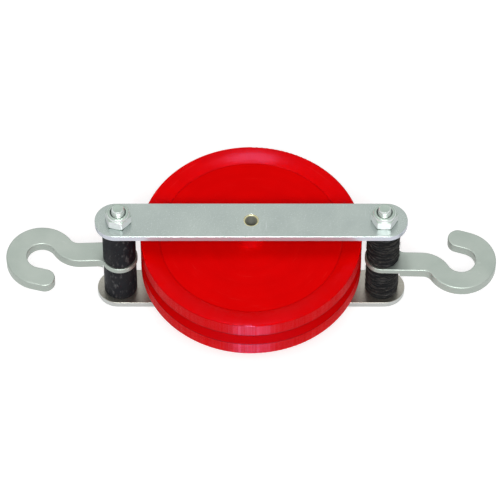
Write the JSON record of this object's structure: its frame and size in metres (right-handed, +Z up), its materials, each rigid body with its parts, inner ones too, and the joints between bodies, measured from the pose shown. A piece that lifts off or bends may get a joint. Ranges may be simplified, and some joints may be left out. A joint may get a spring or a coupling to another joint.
{
  "type": "stringing block",
  "caption": "Red nylon sheave on a fixed hollow axle between two flat steel side plates, with a swinging plate hook on the clamping bolt at each end.",
  "frame": {"origin": "under the middle of the axle, at the level of the undersides of the two bolt heads that the block lies on", "axes": "+Z up along the axle, towards the lock nuts; +X along the frame towards the right hook; +Y across the frame"},
  "size_m": [0.3555, 0.16, 0.1074],
  "materials": {
    "galvanised_steel": "hot-dip galvanised, dull grey with a faint mottle",
    "zinc_plated_steel": "bright zinc plated",
    "yellow_zinc_steel": "yellow-passivated zinc",
    "bronze": "turned bearing bronze",
    "red_nylon": "turned satin nylon, solid colour",
    "black_rubber": "matt black rubber",
    "insert_nylon": "dark nylon"
  },
  "bodies": {
    "frame": {"top_side_plate": "galvanised_steel", "bottom_side_plate": "galvanised_steel", "axle": "yellow_zinc_steel", "packing_sleeve": "zinc_plated_steel", "upper_thrust_washer": "zinc_plated_steel", "lower_thrust_washer": "zinc_plated_steel", "left_bolt": "zinc_plated_steel", "left_lock_nut": "zinc_plated_steel", "left_nut_insert": "insert_nylon", "left_distance_tube": "zinc_plated_steel", "left_upper_sleeve": "black_rubber", "left_lower_sleeve": "black_rubber", "right_bolt": "zinc_plated_steel", "right_lock_nut": "zinc_plated_steel", "right_nut_insert": "insert_nylon", "right_distance_tube": "zinc_plated_steel", "right_upper_sleeve": "black_rubber", "right_lower_sleeve": "black_rubber"},
    "sheave": {"sheave": "red_nylon", "upper_hub_ring": "red_nylon", "lower_hub_ring": "red_nylon", "upper_flanged_bush": "bronze", "lower_flanged_bush": "bronze"},
    "left_hook": {"left_hook": "galvanised_steel"},
    "right_hook": {"right_hook": "galvanised_steel"}
  },
  "joints": [
    {"name": "sheave_spin", "type": "hinge", "parent": "frame", "child": "sheave", "pos_m": [0, 0, 0.0579], "axis": [0, 0, 1], "continuous": true},
    {"name": "left_hook_swing", "type": "hinge", "parent": "frame", "child": "left_hook", "pos_m": [-0.0955, 0, 0.0479], "axis": [0, 0, 1], "range_deg": [-94.5, 94]},
    {"name": "right_hook_swing", "type": "hinge", "parent": "frame", "child": "right_hook", "pos_m": [0.0955, 0, 0.0479], "axis": [0, 0, 1], "range_deg": [-91, 98]}
  ]
}
